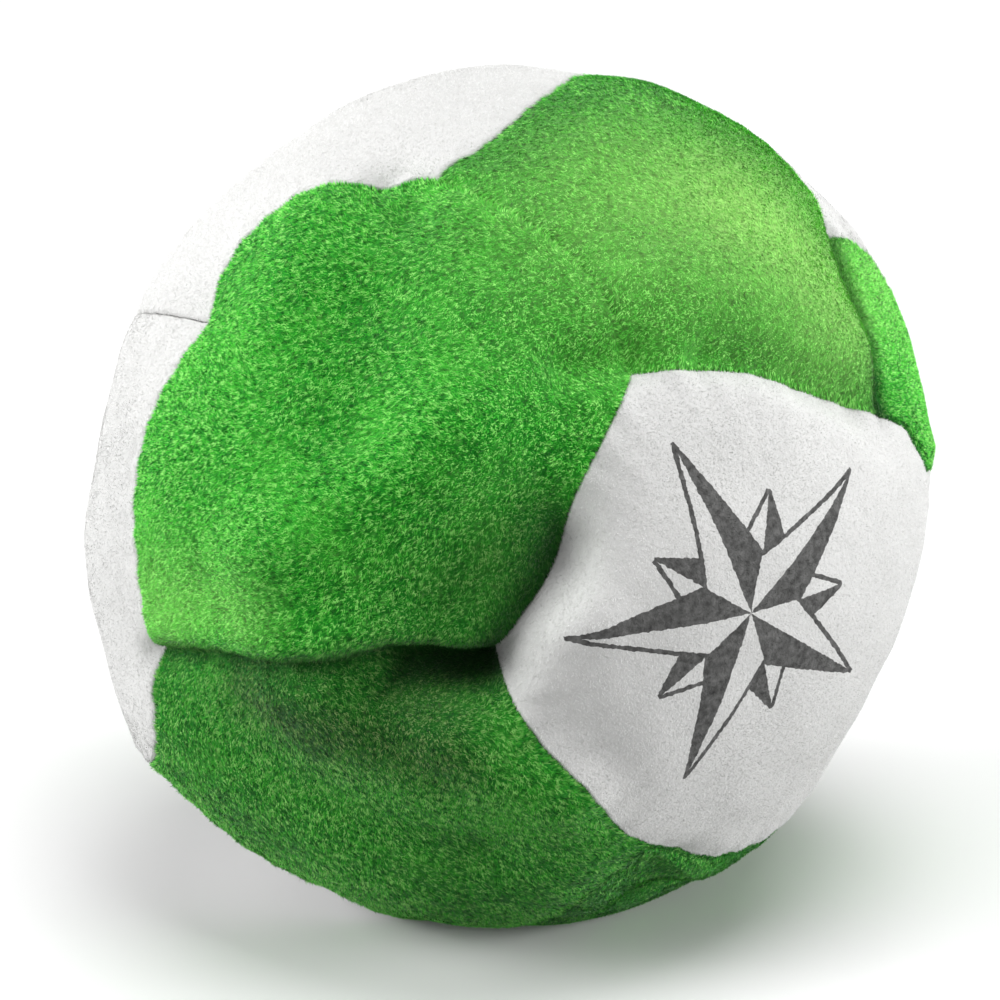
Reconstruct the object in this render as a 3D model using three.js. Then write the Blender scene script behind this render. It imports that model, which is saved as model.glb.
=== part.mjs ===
// A twelve-panel footbag: pentagons of synthetic suede, sewn inside out into a small ball, turned
// and filled with pellets. Each panel's edges turn in at the seams and hang inside as allowances.
// Millimetres, +Z up. The printed front panel faces -Y. The slack bag lies on the plane z = 0 on a
// flat patch, and the origin is under the middle of its outline.
import * as THREE from "three";
import { mergeVertices } from "three/addons/utils/BufferGeometryUtils.js";

// Driving dimensions
const BALL_RADIUS = 27;
const SETTLE_DEPTH = 2.1; // how far the floor pushes the ball's underside in
const SETTLE_BLEND = 2.5; // height over which the seams turn from upright to the ball's radius

const SUEDE_THICKNESS = 0.8;
const FOLD_RADIUS = 0.1; // inside the fold where the suede turns into a seam
const SEAM_ALLOWANCE = 3; // depth of the turned-in strip past the fold
const SEAM_CLEARANCE = 0.3; // between the two turned-in strips of a seam
const SEAM_DRAW_IN = 0.4; // of a seam's middle below the ball's radius
const CORNER_DRAW_IN = 0.9; // of a corner below the ball's radius

const THREAD_DIAMETER = 0.3;
const THREAD_CLEARANCE = 0.12; // to the folds on either side
const THREAD_SETBACK = 1.5; // from a corner to the end of a thread that stops there

const FILL_CLEARANCE = 0.3; // pellets to suede
const WELD_SHARE = 0.01; // of that clearance: points of the fill that are closer are one

// Worked out from them
const FOLD_OUTER_RADIUS = FOLD_RADIUS + SUEDE_THICKNESS;
const FOLD_START = FOLD_OUTER_RADIUS + SEAM_CLEARANCE / 2; // from a seam to where its panels turn in
const ALLOWANCE_DEPTH = FOLD_OUTER_RADIUS + SEAM_ALLOWANCE;
const CENTRE_HEIGHT = BALL_RADIUS - SETTLE_DEPTH;

// The zigzag seam that is closed last, by hand
const CLOSING_TURN = 3;

// Resolution
const SIDE_STEPS = 6; // along one side of a panel
const FOLD_STEPS = 2; // round the fold
const THREAD_SIDES = 6;
const THREAD_STEPS_PER_SEAM = 6;

// The twenty corners are those of a regular dodecahedron whose axis is -Y, in four rows of five.
// A row's angle is from that axis, and a turn is anticlockwise as seen from the front.
const PANEL_SIDES = 5;
const TURN_STEP = (2 * Math.PI) / PANEL_SIDES;
const FIRST_TURN = THREE.MathUtils.degToRad(110.5);
const FRONT_ANGLE = Math.acos(Math.sqrt((5 + 2 * Math.sqrt(5)) / 15));
const MIDDLE_ANGLE = Math.acos(Math.sqrt((5 - 2 * Math.sqrt(5)) / 15));

// Slack moves each corner a little: [away from the axis, anticlockwise] in degrees, and outwards as
// a share of the ball's radius.
const CORNER_ROWS = {
  front: {
    angle: FRONT_ANGLE,
    turn: 0,
    shiftDegrees: [[-0.5, 1], [-1, -1.5], [-0.5, -1.5], [12.5, 1], [-3, -1]],
    outShares: [0, -0.01, 0, -0.08, 0],
  },
  frontMiddle: {
    angle: MIDDLE_ANGLE,
    turn: 0,
    shiftDegrees: [[-6.5, 5], [11, 8.5], [0, 4], [2, -2], [-20, 14.5]],
    outShares: [0, 0, 0, -0.04, 0.02],
  },
  rearMiddle: {
    angle: Math.PI - MIDDLE_ANGLE,
    turn: TURN_STEP / 2,
    shiftDegrees: [[-7.5, -1], [-1, -8], [-2, 2], [1, -3], [-3, -3]],
    outShares: [-0.02, 0.08, 0, 0, 0.015],
  },
  rear: {
    angle: Math.PI - FRONT_ANGLE,
    turn: TURN_STEP / 2,
    shiftDegrees: [[2, 3], [-1, 2], [0, -3], [-2, 1], [1, 3]],
    outShares: [0.01, 0, -0.01, 0, 0],
  },
};

// How far each seam bows to the left of its own direction, as a share of the ball's radius.
const SEAM_BOW_SHARES = {
  frontRing: [0, -0.04, -0.2, -0.2, 0],
  frontSpoke: [-0.07, -0.03, -0.04, 0, 0.08],
  zigzagDown: [-0.15, 0.08, 0, 0, -0.06],
  zigzagUp: [-0.05, 0, 0, 0.06, 0.06],
  rearSpoke: [0.02, 0, -0.02, 0.01, 0],
  rearRing: [0, -0.02, 0.01, -0.03, 0.02],
};

// How far each panel's middle stands past the ball's radius, as a share of it.
const CROWN_SHARES = {
  front: [-0.02],
  frontRing: [0, 0.01, -0.01, -0.03, 0.03],
  rearRing: [-0.03, -0.03, -0.01, 0.01, 0],
  rear: [0],
};
const CROWN_POWER = 2.6; // how late a panel curves down towards its seams

const GREEN_SUEDE = { color: 0x3aa635, roughness: 0.95, metalness: 0 };
const WHITE_SUEDE = { color: 0xe9e9e7, roughness: 0.95, metalness: 0 };
const PALE_THREAD = { color: 0xdcdbd6, roughness: 0.7, metalness: 0 };
const PALE_PELLETS = { color: 0xd8d2c0, roughness: 0.6, metalness: 0 };

const TANGENT_SHARE = 0.01; // of a seam, to either side of a place where its direction is taken
const DOWN = new THREE.Vector3(0, 0, -1);
const after = (k) => (k + 1) % PANEL_SIDES;
const before = (k) => (k + PANEL_SIDES - 1) % PANEL_SIDES;
const turns = Array.from({ length: PANEL_SIDES }, (_, k) => k);

// Corners: a direction from the ball's centre, and a radius
function cornerOf(row, k) {
  const [away, round] = row.shiftDegrees[k].map(THREE.MathUtils.degToRad);
  const angle = row.angle + away;
  const turn = FIRST_TURN + row.turn + k * TURN_STEP + round;
  return {
    direction: new THREE.Vector3(
      Math.sin(angle) * Math.cos(turn),
      -Math.cos(angle),
      Math.sin(angle) * Math.sin(turn),
    ),
    radius: BALL_RADIUS * (1 + row.outShares[k]) - CORNER_DRAW_IN,
  };
}
const corners = Object.fromEntries(
  Object.entries(CORNER_ROWS).map(([name, row]) => [name, turns.map((k) => cornerOf(row, k))]),
);

// The floor flattens what would lie below it. Places are measured from the ball's centre.
function settled(place) {
  if (place.z >= -CENTRE_HEIGHT) return place;
  return place.multiplyScalar(CENTRE_HEIGHT / -place.z);
}

// Out of the bag: along the ball's radius, and straight down where the bag lies on the floor.
function outwardAt(place) {
  const height = place.z + CENTRE_HEIGHT;
  const flat = 1 - THREE.MathUtils.smoothstep(height, 0, SETTLE_BLEND);
  return place.clone().normalize().lerp(DOWN, flat).normalize();
}

function between(a, b, share) {
  const angle = a.angleTo(b);
  return a
    .clone()
    .multiplyScalar(Math.sin((1 - share) * angle))
    .addScaledVector(b, Math.sin(share * angle))
    .normalize();
}

// Seams: the line where two panels meet, from one corner to another
class Seam {
  constructor(from, to, bowShare) {
    this.from = from;
    this.to = to;
    this.bow = bowShare;
    this.left = from.direction.clone().cross(to.direction).normalize();
  }

  place(share) {
    const belly = 4 * share * (1 - share);
    const radius =
      THREE.MathUtils.lerp(this.from.radius, this.to.radius, share) +
      (CORNER_DRAW_IN - SEAM_DRAW_IN) * belly;
    const direction = between(this.from.direction, this.to.direction, share)
      .addScaledVector(this.left, this.bow * belly)
      .normalize();
    return settled(direction.multiplyScalar(radius));
  }

  span() {
    return this.place(0).distanceTo(this.place(1));
  }

  // The seam's own axes: out of the bag, to the left, and along
  axes(share) {
    const ahead = this.place(Math.min(share + TANGENT_SHARE, 1));
    const behind = this.place(Math.max(share - TANGENT_SHARE, 0));
    const out = outwardAt(this.place(share));
    const left = out.clone().cross(ahead.sub(behind)).normalize();
    return { out, left, along: left.clone().cross(out) };
  }
}

const seams = [];
const seamBetween = (from, to) => seams.find((seam) => seam.from === from && seam.to === to);
function addSeams(name, ends) {
  const added = ends.map(([from, to], k) => new Seam(from, to, SEAM_BOW_SHARES[name][k]));
  seams.push(...added);
  return added;
}
const { front, frontMiddle, rearMiddle, rear } = corners;
const frontRing = addSeams("frontRing", turns.map((k) => [front[k], front[after(k)]]));
const frontSpoke = addSeams("frontSpoke", turns.map((k) => [front[k], frontMiddle[k]]));
const zigzagDown = addSeams("zigzagDown", turns.map((k) => [frontMiddle[k], rearMiddle[k]]));
const zigzagUp = addSeams("zigzagUp", turns.map((k) => [rearMiddle[k], frontMiddle[after(k)]]));
const rearSpoke = addSeams("rearSpoke", turns.map((k) => [rearMiddle[k], rear[k]]));
const rearRing = addSeams("rearRing", turns.map((k) => [rear[k], rear[after(k)]]));

// A panel's side is a seam, run so that the panel lies to the left of it
class Side {
  constructor(from, to) {
    this.reversed = seamBetween(from, to) === undefined;
    this.seam = this.reversed ? seamBetween(to, from) : seamBetween(from, to);
  }

  line(share) {
    return this.seam.place(this.reversed ? 1 - share : share);
  }

  axes(share) {
    const { out, left, along } = this.seam.axes(this.reversed ? 1 - share : share);
    return this.reversed ? { out, left: left.negate(), along: along.negate() } : { out, left, along };
  }
}

class Panel {
  constructor(ring, crownShare) {
    this.sides = ring.map((corner, k) => new Side(corner, ring[after(k)]));
    this.crownRadius = BALL_RADIUS * (1 + crownShare);
    this.middle = ring
      .reduce((sum, corner) => sum.add(corner.direction), new THREE.Vector3())
      .normalize();
    // Two sides' allowances meet in a mitre, which leans along the side by this share at each end
    this.mitres = this.sides.map((side, k) => {
      const lean = (share, otherLeft) => {
        const { left, along } = side.axes(share);
        return left.clone().add(otherLeft).divideScalar(1 + left.dot(otherLeft)).dot(along);
      };
      return [
        lean(0, this.sides[before(k)].axes(1).left),
        lean(1, this.sides[after(k)].axes(0).left),
      ];
    });
  }

  // A place beside the seam: so far into the panel, and so deep into the bag
  beside(k, share, inset, depth) {
    const side = this.sides[k];
    const { out, left, along } = side.axes(share);
    const mitre = THREE.MathUtils.lerp(...this.mitres[k], share);
    return side
      .line(share)
      .addScaledVector(out, -depth)
      .addScaledVector(left, inset)
      .addScaledVector(along, inset * mitre);
  }

  // A place on the face: rise is 0 at the panel's middle and 1 where it starts to fold in
  face(k, share, rise, depth) {
    if (rise === 1) return this.beside(k, share, FOLD_START, depth);
    const rim = this.beside(k, share, FOLD_START, 0);
    const rimRadius = rim.length();
    const crown = (this.crownRadius - rimRadius) * (1 - Math.pow(rise, CROWN_POWER));
    const place = settled(
      between(this.middle, rim.normalize(), rise).multiplyScalar(rimRadius + crown),
    );
    return place.addScaledVector(outwardAt(place), -depth);
  }
}

// Mesh building: a fan of rings about one point, then rings of equal count, then a fan back
class Skin {
  constructor() {
    this.points = [];
    this.faces = [];
  }

  add(place) {
    this.points.push(place.x, place.y, place.z);
    return this.points.length / 3 - 1;
  }

  triangle(a, b, c, flipped) {
    this.faces.push(a, ...(flipped ? [c, b] : [b, c]));
  }

  // Rings that grow from one point by one step a side, and the last ring's points
  fan(steps, placeAt, flipped) {
    let inner = [this.add(placeAt(0, 0, 0))];
    for (let n = 1; n <= steps; n++) {
      const ring = [];
      for (const k of turns) {
        for (let i = 0; i < n; i++) ring.push(this.add(placeAt(k, i / n, n / steps)));
      }
      for (const k of turns) {
        for (let i = 0; i < n; i++) {
          const out = ring[k * n + i];
          const next = ring[(k * n + i + 1) % ring.length];
          const innerAt = (j) => inner[(k * (n - 1) + j) % inner.length];
          this.triangle(innerAt(i), out, next, flipped);
          if (i < n - 1) this.triangle(innerAt(i), next, innerAt(i + 1), flipped);
        }
      }
      inner = ring;
    }
    return inner;
  }

  band(upper, lower) {
    upper.forEach((a, i) => {
      const j = (i + 1) % upper.length;
      this.triangle(a, lower[i], lower[j], false);
      this.triangle(a, lower[j], upper[j], false);
    });
  }

  ring(steps, placeAt) {
    const ring = [];
    for (const k of turns) {
      for (let i = 0; i < steps; i++) ring.push(this.add(placeAt(k, i / steps)));
    }
    return ring;
  }

  geometry() {
    const geometry = new THREE.BufferGeometry();
    geometry.setAttribute("position", new THREE.Float32BufferAttribute(this.points, 3));
    geometry.setIndex(this.faces);
    geometry.computeVertexNormals();
    return geometry;
  }
}

// One panel of suede: its face, the fold at each side, the turned-in allowances and the back
function suedePanel(panel) {
  const skin = new Skin();
  const rims = [skin.fan(SIDE_STEPS, (k, share, rise) => panel.face(k, share, rise, 0), false)];
  const addRim = (inset, depth) => {
    rims.push(skin.ring(SIDE_STEPS, (k, share) => panel.beside(k, share, inset, depth)));
  };
  for (let n = 1; n <= FOLD_STEPS; n++) {
    const angle = (n / FOLD_STEPS) * (Math.PI / 2);
    addRim(
      FOLD_START - FOLD_OUTER_RADIUS * Math.sin(angle),
      FOLD_OUTER_RADIUS * (1 - Math.cos(angle)),
    );
  }
  const outerInset = SEAM_CLEARANCE / 2;
  const innerInset = outerInset + SUEDE_THICKNESS;
  addRim(outerInset, ALLOWANCE_DEPTH);
  addRim(innerInset, ALLOWANCE_DEPTH);
  addRim(innerInset, FOLD_OUTER_RADIUS);
  const back = skin.fan(
    SIDE_STEPS,
    (k, share, rise) => panel.face(k, share, rise, SUEDE_THICKNESS),
    true,
  );
  rims.push(back);
  for (let n = 1; n < rims.length; n++) skin.band(rims[n - 1], rims[n]);
  return skin.geometry();
}

// The pellets fill the bag up to the suede, with a groove round each pair of allowances
function pelletFill(panels) {
  const skin = new Skin();
  const depth = SUEDE_THICKNESS + FILL_CLEARANCE;
  const inset = SEAM_CLEARANCE / 2 + SUEDE_THICKNESS + FILL_CLEARANCE;
  const grooveDepth = ALLOWANCE_DEPTH + FILL_CLEARANCE;
  for (const panel of panels) {
    const face = (k, share, rise) =>
      rise === 1 ? panel.beside(k, share, inset, depth) : panel.face(k, share, rise, depth);
    const rim = skin.fan(SIDE_STEPS, face, false);
    const wall = skin.ring(SIDE_STEPS, (k, share) => panel.beside(k, share, inset, grooveDepth));
    const floor = skin.ring(SIDE_STEPS, (k, share) => panel.beside(k, share, 0, grooveDepth));
    skin.band(rim, wall);
    skin.band(wall, floor);
  }
  return mergeVertices(skin.geometry().deleteAttribute("normal"), WELD_SHARE * FILL_CLEARANCE);
}

// Thread lies in the valley between two folds, as deep as its clearance lets it. Where the seam is
// wide enough for it, it drops to where the folds end.
const THREAD_REACH = FOLD_OUTER_RADIUS + THREAD_CLEARANCE + THREAD_DIAMETER / 2;
const THREAD_DEPTH =
  FOLD_OUTER_RADIUS - Math.sqrt(Math.max(THREAD_REACH ** 2 - FOLD_START ** 2, 0));

// One run of thread along seams that follow each other, stopped short of the corners at its ends.
// Its steps are even along each seam, so that it turns at the corners themselves.
class ThreadPath extends THREE.Curve {
  constructor(run) {
    super();
    this.run = run;
    this.firstShare = THREAD_SETBACK / run[0].span();
    this.lastShare = 1 - THREAD_SETBACK / run.at(-1).span();
  }

  getUtoTmapping(u) {
    return u;
  }

  getPoint(t) {
    const seamsDone = Math.min(Math.floor(t * this.run.length), this.run.length - 1);
    const seam = this.run[seamsDone];
    const from = seamsDone === 0 ? this.firstShare : 0;
    const to = seamsDone === this.run.length - 1 ? this.lastShare : 1;
    const share = THREE.MathUtils.lerp(from, to, t * this.run.length - seamsDone);
    return seam.place(share).addScaledVector(seam.axes(share).out, -THREAD_DEPTH);
  }
}

function thread(run) {
  const circle = new THREE.Path().absarc(0, 0, THREAD_DIAMETER / 2, 0, 2 * Math.PI);
  return new THREE.ExtrudeGeometry(new THREE.Shape(circle.getSpacedPoints(THREAD_SIDES)), {
    steps: THREAD_STEPS_PER_SEAM * run.length,
    extrudePath: new ThreadPath(run),
    bevelEnabled: false,
  });
}

// Assembly, in places measured from the ball's centre
const bag = new THREE.Group();
function addMesh(name, geometry, finish) {
  const mesh = new THREE.Mesh(geometry, new THREE.MeshStandardMaterial(finish));
  mesh.name = name;
  bag.add(mesh);
}

const panels = {
  front_panel: { ring: turns.map((k) => front[k]), crown: CROWN_SHARES.front[0], finish: WHITE_SUEDE },
};
for (const k of turns) {
  panels[`front_ring_panel_${k + 1}`] = {
    ring: [front[after(k)], front[k], frontMiddle[k], rearMiddle[k], frontMiddle[after(k)]],
    crown: CROWN_SHARES.frontRing[k],
    finish: GREEN_SUEDE,
  };
}
for (const k of turns) {
  panels[`rear_ring_panel_${k + 1}`] = {
    ring: [rearMiddle[k], frontMiddle[k], rearMiddle[before(k)], rear[before(k)], rear[k]],
    crown: CROWN_SHARES.rearRing[k],
    finish: WHITE_SUEDE,
  };
}
panels.rear_panel = {
  ring: turns.map((k) => rear[k]).reverse(),
  crown: CROWN_SHARES.rear[0],
  finish: GREEN_SUEDE,
};

const cutPanels = Object.entries(panels).map(([name, { ring, crown, finish }]) => {
  const panel = new Panel(ring, crown);
  addMesh(name, suedePanel(panel), finish);
  return panel;
});
addMesh("pellet_fill", pelletFill(cutPanels), PALE_PELLETS);

// Sewing order: round each end panel, the spokes, the zigzag between the halves, and last the short
// seam that is closed by hand after filling
const zigzag = turns.flatMap((k) => [zigzagDown[k], zigzagUp[k]]);
const closing = zigzag.indexOf(zigzagDown[CLOSING_TURN]);
const threads = {
  front_ring_thread: frontRing,
  rear_ring_thread: rearRing,
  zigzag_thread: [...zigzag.slice(closing + 1), ...zigzag.slice(0, closing)],
  closing_thread: [zigzag[closing]],
};
for (const k of turns) {
  threads[`front_spoke_thread_${k + 1}`] = [frontSpoke[k]];
  threads[`rear_spoke_thread_${k + 1}`] = [rearSpoke[k]];
}
for (const [name, run] of Object.entries(threads)) addMesh(name, thread(run), PALE_THREAD);

// The origin goes on the floor, under the middle of the outline
const outline = new THREE.Box3().setFromObject(bag);
const middle = outline.getCenter(new THREE.Vector3());
bag.position.set(-middle.x, -middle.y, CENTRE_HEIGHT);

const footbag = new THREE.Group();
footbag.add(bag);
export default footbag;
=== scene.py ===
# %% [markdown]
# # A sewn footbag: twelve panels of napped suede over loose pellets
#
# The object is a small kicking bag, 54 mm across. Twelve pentagons of brushed synthetic suede are
# sewn inside out, turned, filled with plastic pellets and closed by hand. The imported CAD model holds
# each panel as a plain faceted solid. This lesson dresses it: each panel becomes a fine, soft skin
# with a rolled edge at every seam and a real nap of fibres, the seams get twisted thread, and the
# filling becomes the pellets themselves. Everything is in metres, in the frame of the CAD model.

import math

import bmesh
import bpy
import numpy as np
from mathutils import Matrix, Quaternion, Vector, noise
from mathutils.bvhtree import BVHTree


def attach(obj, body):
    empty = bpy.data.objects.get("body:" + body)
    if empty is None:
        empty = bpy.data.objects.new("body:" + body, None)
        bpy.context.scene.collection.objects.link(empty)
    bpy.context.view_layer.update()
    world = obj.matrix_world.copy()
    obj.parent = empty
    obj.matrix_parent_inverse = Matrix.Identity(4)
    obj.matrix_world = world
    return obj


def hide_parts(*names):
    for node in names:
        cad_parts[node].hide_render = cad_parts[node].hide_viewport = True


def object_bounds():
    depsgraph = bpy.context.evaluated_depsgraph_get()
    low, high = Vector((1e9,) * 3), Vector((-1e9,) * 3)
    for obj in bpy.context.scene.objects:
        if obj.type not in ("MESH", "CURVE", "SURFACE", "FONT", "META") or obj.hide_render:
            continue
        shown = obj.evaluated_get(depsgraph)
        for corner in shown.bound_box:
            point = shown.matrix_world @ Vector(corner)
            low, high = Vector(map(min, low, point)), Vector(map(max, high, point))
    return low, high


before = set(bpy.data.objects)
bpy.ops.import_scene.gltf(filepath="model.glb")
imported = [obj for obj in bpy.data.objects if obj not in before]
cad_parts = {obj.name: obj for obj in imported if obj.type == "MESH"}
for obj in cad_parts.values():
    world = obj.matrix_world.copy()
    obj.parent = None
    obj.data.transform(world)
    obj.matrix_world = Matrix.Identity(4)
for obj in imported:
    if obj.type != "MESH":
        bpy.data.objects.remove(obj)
cad_low, cad_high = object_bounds()
MM = 0.001
cad_size = [round((high - low) / MM, 1) for low, high in zip(cad_low, cad_high)]
print("CAD box in mm:", cad_size, "with", len(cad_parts), "nodes")

# %% [markdown]
# ## The ball
#
# A slack bag lies on a flat patch, so its middle is a little lower than its radius. The origin is
# under the middle of the whole outline, which is nearly under the middle of the ball. The exact
# place comes later, when our panels can be laid over those of the frame.

# %% The ball's size
BALL_RADIUS = 27 * MM
SETTLE_DEPTH = 2.1 * MM  # how far the floor pushes the underside in
CENTRE_HEIGHT = BALL_RADIUS - SETTLE_DEPTH

# %% [markdown]
# ## The camera
#
# The photograph looks at the bag from a little above and from its left. A long lens ten radii away
# gives its mild perspective. The lens follows from one measure: how many pixels the ball's radius
# takes in the picture. A small shift puts the ball where the picture has it.

# %% Camera at the photograph's angle
VIEW_AZIMUTH = math.radians(-33.5)
VIEW_ELEVATION = math.radians(18.5)
VIEW_DISTANCE = 10 * BALL_RADIUS
PICTURE_SIDE = 1000  # pixels
BALL_IN_PICTURE = (513, 497)  # pixels, of the ball's middle
OUTLINE_RADIUS = 436  # pixels


def seen_from(azimuth, elevation):
    """The direction from the object towards a viewer or a lamp."""
    level = math.cos(elevation)
    return Vector((math.sin(azimuth) * level, -math.cos(azimuth) * level, math.sin(elevation)))


ball_middle = Vector((0, 0, CENTRE_HEIGHT))
camera = bpy.data.objects.new("camera", bpy.data.cameras.new("camera"))
bpy.context.scene.collection.objects.link(camera)
bpy.context.scene.camera = camera
towards_camera = seen_from(VIEW_AZIMUTH, VIEW_ELEVATION)
camera.location = ball_middle + towards_camera * VIEW_DISTANCE
camera.rotation_mode = "QUATERNION"
camera.rotation_quaternion = (-towards_camera).to_track_quat("-Z", "Y")
focal_pixels = OUTLINE_RADIUS * math.sqrt((VIEW_DISTANCE / BALL_RADIUS) ** 2 - 1)
camera.data.lens = camera.data.sensor_width * focal_pixels / PICTURE_SIDE
camera.data.shift_x = 0.5 - BALL_IN_PICTURE[0] / PICTURE_SIDE
camera.data.shift_y = BALL_IN_PICTURE[1] / PICTURE_SIDE - 0.5
camera.data.clip_start = VIEW_DISTANCE / 100
camera.data.clip_end = VIEW_DISTANCE * 100
print("lens", round(camera.data.lens, 1), "mm")

# %% [markdown]
# ## Nodes written as sums
#
# Every finish here is built from shader nodes. Adding Math nodes by hand hides what a finish does,
# so a small class wraps a socket and lets `1 - mask * 0.5` add the nodes that it needs. Colours
# and vectors would turn grey or lose parts in a Math node, so they go through Mix and Vector Math.

# %% A socket that can stand in a sum
class Wire:
    """An output socket. Sums on it add Math nodes, and numbers alone stay in Python."""

    def __init__(self, nodes, socket):
        self.nodes = nodes
        self.socket = socket

    def maths(self, operation, *values):
        return self.nodes.add("ShaderNodeMath", {"operation": operation}, dict(enumerate(values)))

    def __add__(self, other):
        return self.maths("ADD", self, other)

    def __sub__(self, other):
        return self.maths("SUBTRACT", self, other)

    def __rsub__(self, other):
        return self.maths("SUBTRACT", other, self)

    def __mul__(self, other):
        return self.maths("MULTIPLY", self, other)

    def __lt__(self, other):
        return self.maths("LESS_THAN", self, other)

    def __gt__(self, other):
        return self.maths("GREATER_THAN", self, other)

    __radd__ = __add__
    __rmul__ = __mul__


# %% One method that adds any node
class Nodes:
    """One node tree, and the one method that adds nodes to it."""

    def __init__(self, tree):
        self.tree = tree
        tree.nodes.clear()

    def add(self, kind, settings=None, values=None, out=0):
        """A node of that kind: its settings first, then values or wires for its sockets."""
        node = self.tree.nodes.new(kind)
        for name, value in (settings or {}).items():
            setattr(node, name, value)
        for name, value in (values or {}).items():
            socket = self.find(node.inputs, name)
            if isinstance(value, Wire):
                self.tree.links.new(value.socket, socket)
            else:
                socket.default_value = value
        return Wire(self, self.find(node.outputs, out)) if node.outputs else None

    @staticmethod
    def find(sockets, name):
        """A socket by its place, or by its name, among those in use."""
        in_use = [socket for socket in sockets if socket.enabled]
        if isinstance(name, int):
            return in_use[name]
        return next(socket for socket in in_use if socket.name == name)

    def mix(self, share, first, second, blend="MIX"):
        """Two colours mixed by a share from 0 to 1."""
        settings = {"data_type": "RGBA", "blend_type": blend}
        return self.add("ShaderNodeMix", settings, {"Factor": share, "A": first, "B": second})

    def vector_maths(self, operation, *values, out="Vector", **named):
        values = dict(enumerate(values)) | named
        return self.add("ShaderNodeVectorMath", {"operation": operation}, values, out)

    def principled(self, values):
        """The last two nodes of a material."""
        surface = self.add("ShaderNodeBsdfPrincipled", values=values)
        self.add("ShaderNodeOutputMaterial", values={"Surface": surface})


# %% A material, and its colours
def new_material(name):
    material = bpy.data.materials.new(name)
    material.use_nodes = True
    return material, Nodes(material.node_tree)


def screen(red, green, blue):
    """A colour as it is read off a screen, from 0 to 255, in the linear values of a shader."""
    parts = [part / 255 for part in (red, green, blue)]
    linear = [p / 12.92 if p <= 0.04045 else ((p + 0.055) / 1.055) ** 2.4 for p in parts]
    return (*linear, 1)


# %% [markdown]
# ## Floor and light
#
# The bag lies on a plain pale floor. The camera sees that floor nearly white. What bounces off it
# onto the bag is less, because the photograph's underside is deep in shade. The light is soft: one
# large lamp over the bag, one at each side, and an even, weak glow from all round. The view
# transform is Standard, so a colour renders about as it is written.

# %% Floor
bpy.context.scene.view_settings.view_transform = "Standard"
FLOOR_SIDE = 6
FLOOR_SEEN = 0.95  # how white it looks
FLOOR_BOUNCE = 0.45  # how much of the light it throws back at the bag


def grey(level):
    return (level, level, level, 1)


floor = bpy.data.objects.new("floor", bpy.data.meshes.new("floor"))
edge = FLOOR_SIDE / 2
floor.data.from_pydata(
    [(-edge, -edge, 0), (edge, -edge, 0), (edge, edge, 0), (-edge, edge, 0)], [], [(0, 1, 2, 3)]
)
bpy.context.scene.collection.objects.link(floor)
floor_material, nodes = new_material("floor")
is_seen = nodes.add("ShaderNodeLightPath", out="Is Camera Ray")
level = nodes.mix(is_seen, grey(FLOOR_BOUNCE), grey(FLOOR_SEEN))
matt = nodes.add("ShaderNodeBsdfDiffuse", values={"Color": level})
nodes.add("ShaderNodeOutputMaterial", values={"Surface": matt})
floor.data.materials.append(floor_material)

# %% Glow from all round
GLOW = 0.16

world = bpy.data.worlds.new("glow")
world.use_nodes = True
bpy.context.scene.world = world
nodes = Nodes(world.node_tree)
is_seen = nodes.add("ShaderNodeLightPath", out="Is Camera Ray")
background = nodes.add(
    "ShaderNodeBackground", values={"Color": grey(1), "Strength": GLOW + is_seen * (1 - GLOW)}
)
nodes.add("ShaderNodeOutputWorld", values={"Surface": background})


# %% Lamps
LAMP_DISTANCE = 1.2
LAMP_SIDE = 0.8


def add_lamp(name, azimuth, elevation, share):
    """A square lamp. Its share is how bright it alone makes white paper that faces it.

    Light fades with the square of the distance, and lamp and paper each spread it over pi."""
    lamp = bpy.data.objects.new(name, bpy.data.lights.new(name, "AREA"))
    bpy.context.scene.collection.objects.link(lamp)
    direction = seen_from(math.radians(azimuth), math.radians(elevation))
    lamp.location = ball_middle + direction * LAMP_DISTANCE
    lamp.rotation_mode = "QUATERNION"
    lamp.rotation_quaternion = (-direction).to_track_quat("-Z", "Y")
    lamp.data.size = LAMP_SIDE
    lamp.data.energy = share * math.pi**2 * LAMP_DISTANCE**2


add_lamp("lamp_over", 20, 80, 0.78)
add_lamp("lamp_left", -116, 18, 1.17)
add_lamp("lamp_right", 45, 5, 1.4)

# %% [markdown]
# ## The pattern: twenty corners, thirty seams, twelve panels
#
# A ball of twelve pentagons is a dodecahedron blown up. Its axis here runs through the printed
# panel. From front to back, its twenty corners lie in four rows of five. A real bag is slack, so
# each corner has wandered, and the photograph shows how far. These shifts are the same as those of
# the CAD source, so our panels will lie on the imported ones.

# %% Corners
SIDES = 5
TURN_STEP = 2 * math.pi / SIDES
FIRST_TURN = math.radians(110.5)
FRONT_ANGLE = math.acos(math.sqrt((5 + 2 * math.sqrt(5)) / 15))
MIDDLE_ANGLE = math.acos(math.sqrt((5 - 2 * math.sqrt(5)) / 15))
CORNER_DRAW_IN = 0.9 * MM  # of a corner below the ball's radius
SEAM_DRAW_IN = 0.4 * MM  # of a seam's middle below it

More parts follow.
